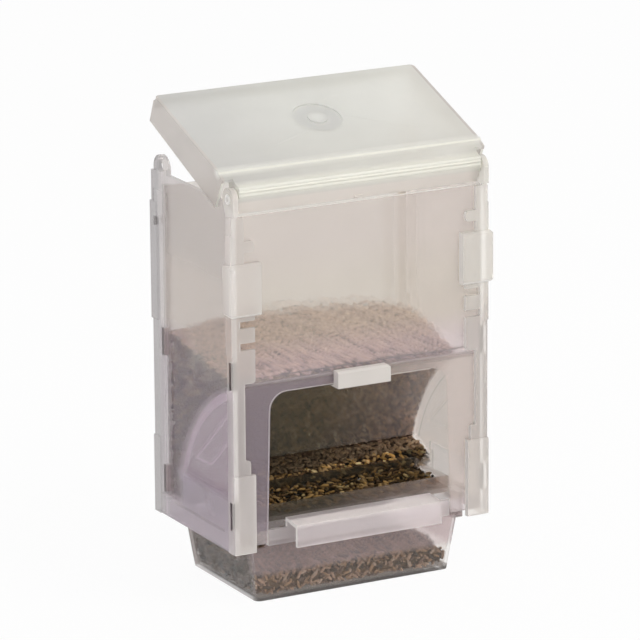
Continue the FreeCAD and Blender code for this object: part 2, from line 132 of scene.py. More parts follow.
# a stretch goes from 0 to 1 between two values: p takes the place, n the face's normal, + its size without
# the sign, and d the distance from the zone's centre, or with an axis from a line along it
def stretchMask(tree, coords, zone, stretch):
    what, start, stop = stretch
    if what[0] == "d":
        away = put(tree, "ShaderNodeVectorMath", operation="SUBTRACT")
        tree.links.new(coords.outputs["Object"], away.inputs[0])
        away.inputs[1].default_value = zone["centre"]
        across = put(tree, "ShaderNodeVectorMath", operation="MULTIPLY")
        tree.links.new(away.outputs[0], across.inputs[0])
        across.inputs[1].default_value = [float(axis not in what) for axis in "XYZ"]
        span = put(tree, "ShaderNodeVectorMath", operation="LENGTH")
        tree.links.new(across.outputs[0], span.inputs[0])
        value = span.outputs["Value"]
    else:
        split = put(tree, "ShaderNodeSeparateXYZ")
        tree.links.new(coords.outputs["Normal" if what[0] == "n" else "Object"], split.inputs[0])
        value = split.outputs[what[1]]
    if what.endswith("+"):
        value = maths(tree, "ABSOLUTE", value, None)
    node = put(tree, "ShaderNodeMapRange")
    node.inputs["From Min"].default_value = start
    node.inputs["From Max"].default_value = stop
    tree.links.new(value, node.inputs["Value"])
    return node.outputs[0]


def zoneMask(tree, coords, zone):
    mask = 1.0
    for stretch in zone["stretches"]:
        mask = maths(tree, "MULTIPLY", stretchMask(tree, coords, zone, stretch), mask)
    return mask


# see-through plastic: part of the light goes straight on, part is spread, part comes back as a milky veil.
# Zones where the moulding is thicker or turned to the light have a tint and veil of their own.
def plastic(name, look):
    mat, tree, bsdf = newMaterial(name)
    coords = put(tree, "ShaderNodeTexCoord")
    grain = put(tree, "ShaderNodeGroup", node_tree=mouldGrain)
    tree.links.new(coords.outputs["Object"], grain.inputs["Vector"])
    feed(tree, grain.inputs["Tint"], look["tint"])
    feed(tree, grain.inputs["Cloud"], look["cloud"])
    feed(tree, grain.inputs["Rough"], look["rough"])
    colour = grain.outputs["Colour"]
    rough = grain.outputs["Roughness"]
    veil = look["veil"]
    bsdf.inputs["Alpha"].default_value = veil
    for zone in look["zones"]:
        mask = zoneMask(tree, coords, zone)
        cloud = tuple(mould["zoneCloud"] * c for c in zone["tint"])
        tint = mixColour(tree, grain.outputs["Mottle"], zone["tint"], cloud)
        colour = mixColour(tree, mask, colour, tint)
        rough = maths(tree, "MULTIPLY_ADD", mask, zone["rough"], rough, True)
        veil = mixValue(tree, mask, veil, zone["veil"])
    tree.links.new(colour, bsdf.inputs["Base Color"])
    tree.links.new(rough, bsdf.inputs["Roughness"])
    feed(tree, bsdf.inputs["Alpha"], veil)
    bsdf.inputs["Transmission Weight"].default_value = look["clear"]
    bsdf.inputs["IOR"].default_value = look["ior"]
    return mat


# the left panel is seen in cool light and the right one in warm light, so each has its own tint
frontStrip = area([("pY", -0.0332, -0.0342)], (0.97, 0.92, 0.90), 0.88)
# painted shade: the slots' walls are darkened where shade falls inside the slots
slotShade = area([("nY", -0.5, -0.9), ("pY", -0.0364, -0.0362), ("pY", -0.0358, -0.0360)],
                (0.10, 0.08, 0.08), 1.0, 0.3)
rearSlotShade = area([("nY", -0.5, -0.9), ("pY", 0.03185, 0.0319), ("pY", 0.03205, 0.0320),
                 ("pX+", 0.0636, 0.0640)], (0.16, 0.14, 0.14), 1.0, 0.3)
leftLook = {"tint": (0.65, 0.59, 0.57), "cloud": (0.61, 0.55, 0.53), "rough": 0.10,
            "clear": 0.68, "veil": 0.62, "ior": 1.2, "zones": [
                area([("pZ", 0.160, 0.148)], (0.76, 0.69, 0.65), 0.66),  # below the lid's shade
                area([("pZ", 0.112, 0.098)], (0.58, 0.44, 0.50), 0.36, -0.03),  # seed behind the panel
                area([("pZ", 0.122, 0.112), ("pY", 0.0, 0.012), ("pZ", 0.098, 0.106)],
                     (0.54, 0.41, 0.46), 0.38, -0.03),  # the seed stands higher at the back
                area([("pZ", 0.055, 0.050), ("pY", 0.020, 0.015)],
                     (0.80, 0.72, 0.80), 0.88),  # foot of the baffle's cheek
                area([("pZ", 0.039, 0.035)], (0.82, 0.75, 0.80), 0.90),  # bottom band
                area([("pY", 0.0325, 0.0335)], (0.50, 0.475, 0.475), 0.80),  # rear strip
                area([("pY", 0.0290, 0.0312), ("pY", 0.0350, 0.0325), ("pZ", 0.120, 0.112)],
                     (0.47, 0.41, 0.43), 0.75),  # edge of the seed at the back
                frontStrip, slotShade, rearSlotShade]}
rightLook = dict(leftLook, tint=(0.92, 0.84, 0.77), cloud=(0.88, 0.80, 0.73), zones=[
    area([("pZ", 0.108, 0.100), ("pY", -0.0342, -0.0332)], (1.0, 0.91, 0.83), 0.48),  # lower part
    area([("pZ", 0.0352, 0.0340)], (0.97, 0.92, 0.90), 0.88),  # bottom edge
    dict(frontStrip, tint=(0.90, 0.85, 0.81)), slotShade])
rearLook = {"tint": (0.81, 0.765, 0.705), "cloud": (0.775, 0.73, 0.67), "rough": 0.45,
            "clear": 0.68, "veil": 0.64, "ior": 1.1, "zones": []}
frontLook = dict(rearLook, rough=0.12, ior=1.12, zones=[
    area([("pZ", 0.145, 0.165)], (0.82, 0.76, 0.73), 0.64),  # under the lid
    area([("pZ", 0.126, 0.114)], (0.87, 0.79, 0.82), 0.64),  # heap behind the panel
    area([("pZ", 0.1055, 0.1030), ("pX", -0.012, 0.012)], (0.88, 0.80, 0.77), 0.64),  # right of the window
    area([("pZ", 0.1055, 0.1030), ("pX", 0.012, -0.012)], (0.72, 0.63, 0.71), 0.60),  # left of the window: painted shade of the niche behind it
    area([("pZ", 0.0358, 0.0352)], (0.90, 0.83, 0.84), 0.80),  # foot
    area([("pX+", 0.0626, 0.0630)], (0.10, 0.08, 0.08), 1.0, 0.3)])  # painted shade on the tongues in the slots
roundel = (0.0, 0.0011, 0.2136)
lidLook = {"tint": (0.86, 0.86, 0.81), "cloud": (0.83, 0.83, 0.78), "rough": 0.40,
           "clear": 0.5, "veil": 0.75, "ior": 1.4, "zones": [
               area([("pX", -0.010, -0.060)], (0.77, 0.765, 0.735), 0.75),  # painted shade, darker to the left
               area([("pX", 0.010, 0.060)], (0.96, 0.955, 0.90), 0.77),  # painted light, lighter to the right
               area([("pX+", 0.0652, 0.0656)], (0.76, 0.70, 0.655), 0.75),  # side skirts
               area([("dX", 0.0040, 0.0012)], (1.0, 1.0, 0.95), 0.9, centre=(0.0, -0.0299, 0.2023)),  # painted highlight along the fold
               area([("dX", 0.0052, 0.0024)], (1.0, 1.0, 0.92), 0.95, centre=(0.0, -0.0391, 0.1945)),  # painted highlight along the bead
               area([("pZ", 0.1905, 0.1890), ("pY", -0.0330, -0.0345)], (0.95, 0.90, 0.85), 0.85),  # visor
               # the roundel: a darker dish as painted shade, and a lighter middle as painted highlight on
               # its boss
               area([("d", 0.0125, 0.0095)], (0.78, 0.78, 0.75), 0.8, centre=roundel),
               area([("d", 0.0070, 0.0020)], (0.91, 0.91, 0.87), 0.85, centre=roundel)]}
hookLook = {"tint": (0.88, 0.84, 0.80), "cloud": (0.84, 0.80, 0.76), "rough": 0.35,
            "clear": 0.15, "veil": 0.95, "ior": 1.4, "zones": []}
# painted highlight: a pale opaque plastic for the lid's rounded beads
beadHighlightLook = {"tint": (1.0, 1.0, 0.92), "cloud": (0.97, 0.97, 0.89), "rough": 0.40,
            "clear": 0.2, "veil": 0.92, "ior": 1.4, "zones": []}
baffleLook = {"tint": (0.58, 0.54, 0.42), "cloud": (0.51, 0.47, 0.36), "rough": 0.20,
              "clear": 0.65, "veil": 0.45, "ior": 1.4, "zones": [
                  area([("pZ", 0.1034, 0.1040)], (0.96, 0.93, 0.89), 1.0, 0.3),  # upper edge
                  area([("pX", 0.005, 0.050)], (0.84, 0.76, 0.73), 0.52)]}  # haze to the right, painted light
# painted light: the left cheek is tinted cool and the right one warm, as the side panels are
leftCheekLook = {"tint": (0.96, 0.87, 0.99), "cloud": (0.91, 0.82, 0.94), "rough": 0.12,
                 "clear": 0.6, "veil": 0.55, "ior": 1.2, "zones": []}
rightCheekLook = {"tint": (1.0, 0.89, 0.80), "cloud": (0.97, 0.86, 0.77), "rough": 0.16,
                  "clear": 0.88, "veil": 0.32, "ior": 1.2, "zones": []}
archLook = {"tint": (0.98, 0.91, 0.96), "cloud": (0.94, 0.87, 0.92), "rough": 0.35,
            "clear": 0.0, "veil": 0.85, "ior": 1.4, "zones": []}
# the trough is smoky plastic, and its dark tint is also painted shade in the niche under the baffle
troughLook = {"tint": (0.22, 0.19, 0.14), "cloud": (0.17, 0.15, 0.10), "rough": 0.14,
              "clear": 0.7, "veil": 0.60, "ior": 1.4, "zones": [
                  area([("pX+", 0.0522, 0.0530)], (1.0, 0.93, 0.87), 0.25),  # ends
                  area([("pX", -0.020, 0.045), ("pY", -0.0240, -0.0243), ("pX", 0.0530, 0.0520)],
                       (0.62, 0.50, 0.44), 0.70)]}  # front wall, lighter to the right as painted light
drawerLook = {"tint": (0.82, 0.72, 0.72), "cloud": (0.76, 0.66, 0.66), "rough": 0.18,
              "clear": 0.72, "veil": 0.74, "ior": 1.1, "zones": [
                  area([("pZ", 0.0140, 0.0110)], (0.74, 0.66, 0.60), 0.26, -0.08),  # seed behind the walls
                  area([("pZ", 0.0022, 0.0014)], (0.22, 0.20, 0.19), 0.9),  # floor
                  area([("pX", -0.0470, -0.0482), ("pY", -0.0290, -0.0265)],
                       (0.28, 0.22, 0.185), 0.40, -0.08),  # painted shade on the left wall
                  area([("pY", 0.0320, 0.0332)], (0.30, 0.26, 0.25), 0.95, 0.1),  # painted shade on the rear wall
                  area([("pY", -0.0346, -0.0352)], (0.99, 0.94, 0.95), 0.88, 0.3)]}  # front band and lip
# painted highlight: a pale opaque plastic for cut edges and rims that catch the light
rimHighlightLook = {"tint": (0.97, 0.95, 0.92), "cloud": (0.93, 0.91, 0.88), "rough": 0.45,
           "clear": 0.0, "veil": 0.92, "ior": 1.4, "zones": []}
flangeLook = {"tint": (0.87, 0.83, 0.80), "cloud": (0.83, 0.79, 0.76), "rough": 0.22,
              "clear": 0.42, "veil": 0.78, "ior": 1.2, "zones": [
                  area([("pZ", 0.140, 0.165)], (0.94, 0.90, 0.86), 0.78),  # upper part
                  area([("pY", -0.0398, -0.0402)], (1.0, 0.96, 0.92), 0.80),  # blocks
                  area([("pZ", 0.120, 0.140), ("pX", 0.0, 0.05)], (1.0, 0.98, 0.93), 0.88)]}  # upper right, lighter as painted light
edgeBreak = {"weld": 0.000002, "width": 0.00025, "segments": 2, "angle": 0.6}

finishes = {
    "left_side_panel": plastic("frostedLeft", leftLook),
    "right_side_panel": plastic("frostedRight", rightLook),
    "front_panel": plastic("frostedFront", frontLook),
    "rear_panel": plastic("frostedRear", rearLook),
    "lid": plastic("frostedLid", lidLook),
    "seed_baffle": plastic("smokyBaffle", baffleLook),
    "feed_trough": plastic("smokyTroughShaded", troughLook),
    "catch_drawer": plastic("clearDrawer", drawerLook),
}
for name, mat in finishes.items():
    node = nodes[name]
    node.data.materials.clear()
    node.data.materials.append(mat)
    weld = node.modifiers.new("joinSeams", "WELD")
    weld.merge_threshold = edgeBreak["weld"]
    rim = node.modifiers.new("softEdge", "BEVEL")
    rim.width = edgeBreak["width"]
    rim.segments = edgeBreak["segments"]
    rim.limit_method = "ANGLE"
    rim.angle_limit = edgeBreak["angle"]
print("plastic finishes set on", len(finishes), "pieces")

# places in metres, and limits on normals, by which faces are picked for a plastic of their own
cut = {"windowLeft": -0.049, "windowRight": 0.030, "hookY": -0.0379, "cheekX": 0.0595,
       "archX": -0.0601, "archHalf": 0.0005, "bandY": -0.0352, "beadY": -0.015,
       "lidTurn": radians(20.0), "brow": (0.973, 0.232), "flat": 0.995,
       "pinX": 0.0640, "hingeY": -0.036, "hingeZ": 0.191, "pinReach": 0.003,
       "flangeY": -0.0362, "plateX": 0.0640, "plateHalf": 0.0021,
       "earY": -0.030, "earZ": 0.184, "edgeTop": 0.183, "inward": -0.04,
       "sideways": 0.1, "edgeOn": 0.5, "facing": 0.7, "square": 0.9}


# faces picked by their middles and normals get a further plastic
def paleFaces(name, mat, pick):
    mesh = nodes[name].data
    middle, normal = (np.empty(len(mesh.polygons) * 3) for _ in range(2))
    mesh.polygons.foreach_get("center", middle)
    mesh.polygons.foreach_get("normal", normal)
    chosen = pick(middle.reshape(-1, 3).T, normal.reshape(-1, 3).T)
    index = np.empty(len(mesh.polygons), np.int32)
    mesh.polygons.foreach_get("material_index", index)
    index[chosen] = len(mesh.materials)
    mesh.materials.append(mat)
    mesh.polygons.foreach_set("material_index", index)
    print(name, "faces in", mat.name + ":", int(chosen.sum()))


# the window's cut edge, where light gathers in the sheet, but for its right side
def windowRim(p, n):
    return (np.abs(n[1]) < cut["edgeOn"]) & (p[0] > cut["windowLeft"]) & (p[0] < cut["windowRight"])


# the inner face of the baffle's left cheek
def archFaces(p, n):
    return (n[0] > cut["facing"]) & (np.abs(p[0] - cut["archX"]) < cut["archHalf"])


# ends and undersides of the drawer's front band, which get the painted rim highlight
def bandEdges(p, n):
    return (p[1] < cut["bandY"]) & ((np.abs(n[0]) > cut["facing"]) | (n[2] < -cut["facing"]))


# the lid's rounded beads: front faces that lie along none of its flat ones, which turn with the lid
def lidBeads(p, n):
    turn = cut["lidTurn"]
    up = cos(turn) * n[2] - sin(turn) * n[1]
    ahead = -cos(turn) * n[1] - sin(turn) * n[2]
    brow = cut["brow"][0] * up + cut["brow"][1] * ahead
    flat = np.maximum(np.abs(up), np.maximum(np.abs(ahead), np.abs(brow)))
    return (np.abs(n[0]) < cut["sideways"]) & (flat < cut["flat"]) & (p[1] < cut["beadY"])


def lidPins(p, n):
    away = np.hypot(p[1] - cut["hingeY"], p[2] - cut["hingeZ"])
    return (np.abs(p[0]) > cut["pinX"]) & (away < cut["pinReach"])


# the corner flange without the plate's own faces, and the front ear
def flangeFaces(p, n):
    plate = (np.abs(n[0]) > cut["square"]) & (np.abs(np.abs(p[0]) - cut["plateX"]) < cut["plateHalf"])
    flange = (p[1] < cut["flangeY"]) & (n[1] < cut["edgeOn"]) & ~plate
    return flange | (p[1] < cut["earY"]) & (p[2] > cut["earZ"])


# faces of the flange that look inwards or down, which get the painted rim highlight
def flangeEdges(p, n):
    edge = (n[0] * p[0] < cut["inward"]) | (n[2] < -cut["facing"])
    return (p[1] < cut["flangeY"]) & (p[2] < cut["edgeTop"]) & edge


# painted highlight: the rim plastic goes on the window's cut edge, the ends and undersides of the drawer's
# band, the lid's pins and the flanges' inward and lower faces
rimHighlightPlastic = plastic("paintedRimHighlight", rimHighlightLook)
flangePlastic = plastic("paleFlange", flangeLook)
beadHighlightPlastic = plastic("paintedBeadHighlight", beadHighlightLook)
paleFaces("front_panel", rimHighlightPlastic, windowRim)
paleFaces("seed_baffle", plastic("paleHook", hookLook), lambda p, n: p[1] < cut["hookY"])
paleFaces("seed_baffle", plastic("leftCheek", leftCheekLook), lambda p, n: p[0] < -cut["cheekX"])
paleFaces("seed_baffle", plastic("rightCheek", rightCheekLook), lambda p, n: p[0] > cut["cheekX"])
paleFaces("seed_baffle", plastic("leftArch", archLook), archFaces)
paleFaces("catch_drawer", rimHighlightPlastic, bandEdges)
# painted highlight on the lid's beads
paleFaces("lid", beadHighlightPlastic, lidBeads)
paleFaces("lid", rimHighlightPlastic, lidPins)
for name in ("left_side_panel", "right_side_panel"):
    paleFaces(name, flangePlastic, flangeFaces)
    paleFaces(name, rimHighlightPlastic, flangeEdges)

kernel = {"length": (0.0028, 0.0042), "width": (0.0013, 0.0018), "flat": 0.86, "power": 0.7,
          "around": 6, "along": 4}


# one kernel: a spindle whose radius follows the sine of the way along it, to the power 0.7
def kernelShape():
    k = kernel["around"]
    t = np.linspace(0.0, 1.0, kernel["along"] + 1)[1:-1, None]
    a = np.arange(k) * 2 * np.pi / k
    radius = 0.5 * np.sin(np.pi * t) ** kernel["power"]
    ring = np.stack([np.broadcast_to(-0.5 * np.cos(np.pi * t), (len(t), k)),
                     radius * np.cos(a), radius * np.sin(a)], -1)
    points = np.vstack([[[-0.5, 0, 0]], ring.reshape(-1, 3), [[0.5, 0, 0]]])
    i = np.arange(k)
    j = (i + 1) % k
    last = len(points) - 1
    starts = 1 + k * np.arange(len(t) - 1)[:, None]
    p, q, r, s = (np.ravel(v) for v in (starts + i, starts + j, starts + k + j, starts + k + i))
    faces = np.vstack([np.stack([0 * i, 1 + j, 1 + i], 1), np.stack([p, q, r], 1),
                       np.stack([p, r, s], 1), np.stack([last - k + i, last - k + j, 0 * i + last], 1)])
    return points, faces


kernelPoints, kernelFaces = kernelShape()


# many kernels in one mesh: each is the spindle scaled, turned by its own axes and moved to its centre
def grainMesh(name, centre, axes, size, tone):
    n = len(centre)
    k = len(kernelPoints)
    place = np.einsum("nvk,nkj->nvj", kernelPoints[None] * size[:, None, :], axes) + centre[:, None, :]
    faces = (kernelFaces[None] + (np.arange(n) * k)[:, None, None]).reshape(-1, 3)
    mesh = bpy.data.meshes.new(name)
    mesh.from_pydata(place.reshape(-1, 3), [], faces)
    mesh.polygons.foreach_set("use_smooth", np.ones(len(faces), bool))
    rows = np.column_stack([np.repeat(tone, k, 0), np.ones(n * k)])
    colours = mesh.attributes.new("grainTone", "FLOAT_COLOR", "POINT")
    colours.data.foreach_set("color", rows.astype(np.float32).ravel())
    mesh.update()
    obj = bpy.data.objects.new(name, mesh)
    bpy.context.collection.objects.link(obj)
    return obj


# axes for kernels that lie along a wall with normal n, turned at random in it and tipped a little
def lyingAxes(rng, n, tilt):
    helper = np.where(np.abs(n[:, 2:]) < 0.9, [[0.0, 0.0, 1.0]], [[1.0, 0.0, 0.0]])
    u = np.cross(helper, n)
    u /= np.linalg.norm(u, axis=1, keepdims=True)
    turn = rng.uniform(0, 2 * np.pi, len(n))[:, None]
    rise = rng.normal(0, tilt, len(n))[:, None]
    flat = np.cos(turn) * u + np.sin(turn) * np.cross(n, u)
    a = np.cos(rise) * flat + np.sin(rise) * n
    c = np.cos(rise) * n - np.sin(rise) * flat
    return np.stack([a, np.cross(c, a), c], 1)


def kernelSizes(rng, n):
    length = rng.uniform(*kernel["length"], n)
    width = rng.uniform(*kernel["width"], n)
    return np.stack([length, width, width * kernel["flat"]], 1)


packing = {"layers": (0.0011, 0.0028), "tries": 400000, "band": 0.0006, "step": 0.0002, "slack": 0.0001,
           "cells": 4096, "tiny": 1e-9}


# kernels packed just inside a closed shape; room(p) says how far a point is outside it.
# Points near each depth are thinned to one a cell, then pushed along the wall's normal
# until the kernel just touches it, and those whose tips stick out are left out.
def packGrains(rng, room, heap):
    low = np.array(heap["low"])
    layers = packing["layers"]
    cellWeights = [packing["cells"] ** 2, packing["cells"], 1]
    parts = []
    for depth in layers:
        p = rng.uniform(low, heap["high"], (packing["tries"], 3))
        p = p[np.abs(room(p) + depth) < packing["band"]]
        cell = np.floor((p - low) / heap["pitch"]).astype(np.int64) @ cellWeights
        p = p[np.unique(cell, return_index=True)[1]]
        steps = np.eye(3) * packing["step"]
        n = np.stack([room(p + d) - room(p - d) for d in steps], 1) + packing["tiny"]
        n /= np.linalg.norm(n, axis=1, keepdims=True)
        size = kernelSizes(rng, len(p)) * [heap["stretch"], 1.0, 1.0]
        axes = lyingAxes(rng, n, heap["tilt"])
        reach = np.linalg.norm((axes @ n[:, :, None])[:, :, 0] * size / 2, axis=1)
        p = p - n * (room(p) + reach + depth - layers[0])[:, None]
        half = axes[:, 0] * size[:, :1] / 2
        keep = np.maximum(room(p + half), room(p - half)) < packing["slack"]
        parts.append([v[keep] for v in (p, axes, size, n)])
    return [np.concatenate(v) for v in zip(*parts)]


tones = {"colours": [[0.50, 0.36, 0.24], [0.42, 0.28, 0.15], [0.17, 0.11, 0.075],
                     [0.035, 0.026, 0.020], [0.64, 0.52, 0.38]],
         "shares": [0.34, 0.22, 0.22, 0.12, 0.10], "strength": (0.75, 1.2)}


def grainTones(rng, n):
    pick = rng.choice(len(tones["shares"]), n, p=tones["shares"])
    return np.array(tones["colours"])[pick] * rng.uniform(*tones["strength"], (n, 1))


# rings of points joined into a closed solid: walls between neighbouring rings, and a face at each end
def loftMesh(name, rings):
    rows, n = rings.shape[:2]
    i = np.arange(n)
    j = (i + 1) % n
    base = n * np.arange(rows - 1)[:, None]
    walls = np.stack([base + i, base + j, base + n + j, base + n + i], -1).reshape(-1, 4)
    ends = [i[::-1].tolist(), (i + n * (rows - 1)).tolist()]
    mesh = bpy.data.meshes.new(name)
    mesh.from_pydata(rings.reshape(-1, 3), [], walls.tolist() + ends)
    mesh.update()
    obj = bpy.data.objects.new(name, mesh)
    bpy.context.collection.objects.link(obj)
    return obj


# contrast and rough are a gain and an offset on the streaks
husk = {"streak": (1400.0, 3.0, 0.6), "contrast": (2.5, -0.75), "dark": (0.70, 0.66, 0.60),
        "light": (1.15, 1.12, 1.05), "rough": (0.3, 0.42), "specular": 0.12}


# a kernel's husk: its own colour from the mesh, with fine streaks
def huskMaterial():
    mat, tree, bsdf = newMaterial("seedHusk")
    coords = put(tree, "ShaderNodeTexCoord").outputs["Object"]
    tone = put(tree, "ShaderNodeAttribute", attribute_name="grainTone").outputs["Color"]
    streak = noise(tree, coords, *husk["streak"])
    contrast = maths(tree, "MULTIPLY_ADD", streak, *husk["contrast"], clamp=True)
    shade = mixColour(tree, contrast, husk["dark"], husk["light"])
    tree.links.new(mixColour(tree, 1.0, tone, shade, "MULTIPLY"), bsdf.inputs["Base Color"])
    tree.links.new(maths(tree, "MULTIPLY_ADD", streak, *husk["rough"]), bsdf.inputs["Roughness"])
    bsdf.inputs["Specular IOR Level"].default_value = husk["specular"]
    return mat


core = {"cells": 380.0, "dark": (0.03, 0.02, 0.012), "light": (0.16, 0.10, 0.05), "rough": (0.2, 0.6)}


# inside of a heap: cells the size of a kernel, each in its own dark husk colour, darker than the kernels as
# painted shade in the gaps between them
def heapMaterial():
    mat, tree, bsdf = newMaterial("seedDeep")
    coords = put(tree, "ShaderNodeTexCoord").outputs["Object"]
    cells = put(tree, "ShaderNodeTexVoronoi")
    cells.inputs["Scale"].default_value = core["cells"]
    tree.links.new(coords, cells.inputs["Vector"])
    split = put(tree, "ShaderNodeSeparateColor")
    tree.links.new(cells.outputs["Color"], split.inputs[0])
    tree.links.new(mixColour(tree, split.outputs[0], core["dark"], core["light"]), bsdf.inputs["Base Color"])
    tree.links.new(maths(tree, "MULTIPLY_ADD", split.outputs[1], *core["rough"]), bsdf.inputs["Roughness"])
    return mat


seedHusk = huskMaterial()
seedDeep = heapMaterial()

hopper = {"halfWidth": 0.0622, "front": -0.0359, "back": 0.0299, "floor": 0.0375,
          "arcY": -0.0526, "arcZ": 0.0282, "arcR": 0.0785, "arcEnd": 0.27,
          "lipY": 0.0205, "lipZ": 0.0488, "wallY": 0.0069, "wallZ": 0.0435,
          "inset": 0.0017, "gap": 0.0002, "arcSteps": 14, "topSteps": 12, "sideSteps": 15,
          "low": (-0.063, -0.037, 0.037), "high": (0.063, 0.031, 0.121),
          "pitch": 0.0020, "tilt": 0.25, "stretch": 1.0, "baffleReach": 0.006}


# the poured surface: a shallow dome of the second degree in x and y, highest at the back
# and falling to the front and to the right, with low waves on it
def heapTop(x, y):
    dome = 0.1133 - 0.05 * x + 0.213 * y - 1.28 * x * x + 0.92 * x * y - 1.3 * y * y
    return dome + 0.0009 * np.sin(140 * x + 1.3) * np.cos(170 * y) + 0.0005 * np.sin(310 * x + 260 * y)


# how far a point is outside the poured heap: all above the curved baffle, and the tongue under its edge
def heapRoom(p):
    x, y, z = p.T
    walls = np.maximum(np.abs(x) - hopper["halfWidth"], np.maximum(y - hopper["back"], hopper["front"] - y))
    under = hopper["arcR"] - np.hypot(y - hopper["arcY"], z - hopper["arcZ"])
    above = np.maximum(np.maximum(walls, z - heapTop(x, y)), under)
    fall = (hopper["lipZ"] - hopper["wallZ"]) / (hopper["lipY"] - hopper["wallY"])
    spill = z - hopper["wallZ"] - fall * (np.minimum(y, hopper["lipY"]) - hopper["wallY"])
    tongue = np.maximum(np.maximum(walls, hopper["wallY"] - y), spill)
    return np.maximum(np.minimum(above, tongue), hopper["floor"] - z)


# the heap's core: its outline in Y and Z drawn in by the inset and carried from side to side under the dome
def heapCore():
    d = hopper["inset"]
    r = hopper["arcR"] + d
    start = np.arccos((hopper["front"] + d - hopper["arcY"]) / r)
    a = np.linspace(start, hopper["arcEnd"], hopper["arcSteps"])
    lowY = np.concatenate([hopper["arcY"] + r * np.cos(a), [hopper["lipY"], hopper["wallY"] + d,
                           hopper["wallY"] + d, hopper["back"] - d]])
    lowZ = np.concatenate([hopper["arcZ"] + r * np.sin(a), [hopper["lipZ"] - d, hopper["wallZ"] - d,
                           hopper["floor"] + d, hopper["floor"] + d]])
    topY = np.linspace(hopper["back"] - d, hopper["front"] + d, hopper["topSteps"])
    across = np.linspace(-1, 1, hopper["sideSteps"])[:, None]
    lowX = across * np.full(len(lowY), hopper["halfWidth"] - d)
    topX = across * np.full(len(topY), hopper["halfWidth"] - d)
    crest = hopper["arcZ"] + np.sqrt(np.maximum(r * r - (topY - hopper["arcY"]) ** 2, 0)) + hopper["gap"]
    topZ = np.maximum(heapTop(topX, topY) - d, crest)
    x = np.hstack([lowX, topX])
    y = np.broadcast_to(np.concatenate([lowY, topY]), x.shape)
    z = np.hstack([np.broadcast_to(lowZ, lowX.shape), topZ])
    return loftMesh("heapCore", np.stack([x, y, z], -1))


def seedPiece(obj, body, node, mat):
    obj.data.materials.append(mat)
    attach(obj, body)
    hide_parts(node)


# 0 to 1 between two values
def ramp(value, start, stop):
    return np.clip((value - start) / (stop - start), 0, 1)


# places in metres, colours as factors
heapTone = {"leftX": -0.058, "shoreSlope": 0.17, "shore": (0.1092, 0.1112), "rightX": 0.056, "rightZ": 0.096,
            "facingUp": (1 / 7, 6 / 7), "dustAndLightZ": 0.08, "dustAndLightLimit": 0.5,
            "least": 0.55, "gain": 0.35, "lightZ": (0.072, 0.110),
            "patch": 0.35, "leftPatch": 0.40, "leftShade": 0.52,
            "rightLiftX": (-0.03, 0.04), "rightLift": (0.27, 0.43, 0.43),
            "dustAndLight": (0.348, 0.270, 0.290), "dustAndLightGain": 0.18, "evenOut": 0.55}


# the heap's kernels: dark where they lie deep against a wall, as painted shade,
# and pale on the open top and along its edge, as dust with painted light
def heapTones(rng, spot, normal):
    x, y, z = (v[:, None] for v in spot.T)
    atLeft = x < heapTone["leftX"]
    shore = ramp(z - heapTone["shoreSlope"] * y, *heapTone["shore"]) * atLeft
    shore = np.maximum(shore, (x > heapTone["rightX"]) & (z > heapTone["rightZ"]))
    dustAndLight = np.maximum(shore, ramp(normal[:, 2:], *heapTone["facingUp"])) * (z > heapTone["dustAndLightZ"])
    # painted light: the kernels grow lighter the higher they lie
    light = heapTone["least"] + heapTone["gain"] * ramp(z, *heapTone["lightZ"])
    tone = grainTones(rng, len(spot)) * light
    # husks gather in patches: waves crossing each other over the wall
    patch = np.sin(820 * y + 500 * x + 2 * np.sin(390 * z)) * np.sin(910 * z + 2 * np.sin(450 * y - 380 * x))
    tone *= 1 + (heapTone["patch"] + heapTone["leftPatch"] * atLeft) * patch
    # painted shade: kernels along the left panel, off the pale top, are darkened
    tone *= 1 - heapTone["leftShade"] * (atLeft & (dustAndLight < heapTone["dustAndLightLimit"]))
    # dust with painted light on the pale top and edge kernels, lifted more to the right
    rightLift = ramp(x, *heapTone["rightLiftX"]) * heapTone["rightLift"]
    tone += dustAndLight * (heapTone["dustAndLight"] + heapTone["dustAndLightGain"] * tone) * (1 + rightLift)
    tone += heapTone["evenOut"] * dustAndLight * (tone[dustAndLight[:, 0] > heapTone["dustAndLightLimit"]].mean(0) - tone)
    return tone, dustAndLight


tongueTone = {"top": 0.0500, "back": 0.0225, "acrossX": (-0.05, 0.05),
              "footY": 0.0095, "footSlant": 0.0045, "footBlur": (-0.0005, 0.0005),
              "own": 0.4, "dull": (0.75, 0.80, 0.78), "dullRight": (1.4, 1.4, 1.55),
              "power": 1.35, "litGold": (4.5, 4.9, 4.2), "litGoldLeft": 0.30, "litGoldRight": 0.85,
              "end": 0.99, "endShade": 0.7}


# the tongue under the baffle: kernels along its foot brightened gold as painted light, and dull ones up
# under the sheet's edge, darker to the left as painted shade and lighter to the right
def tongueTones(spot, tone):
    x, y, z = (v[:, None] for v in spot.T)
    tongue = (z < tongueTone["top"]) & (y < tongueTone["back"])
    across = ramp(x, *tongueTone["acrossX"])
    foot = ramp(tongueTone["footY"] + tongueTone["footSlant"] * across - y, *tongueTone["footBlur"])
    even = tongueTone["own"] * tone + (1 - tongueTone["own"]) * tone[tongue[:, 0]].mean(0)
    dull = even * (tongueTone["dull"] + tongueTone["dullRight"] * across ** 3)
    # painted light: the kernels along the foot are brightened gold, little at the left end and most to the
    # right
    litGold = tone ** tongueTone["power"] * tongueTone["litGold"]
    litGold *= tongueTone["litGoldLeft"] + tongueTone["litGoldRight"] * across
    # painted shade on the gold at the far right end
    litGold *= 1 - tongueTone["endShade"] * (across > tongueTone["end"])
    return np.where(tongue, foot * litGold + (1 - foot) * dull, tone), tongue


behindTone = {"sideX": (-0.045, 0.045), "right": (1.1, 1.0, 1.3), "left": (0.42, 0.38, 0.55), "dustAndLightLimit": 0.3}


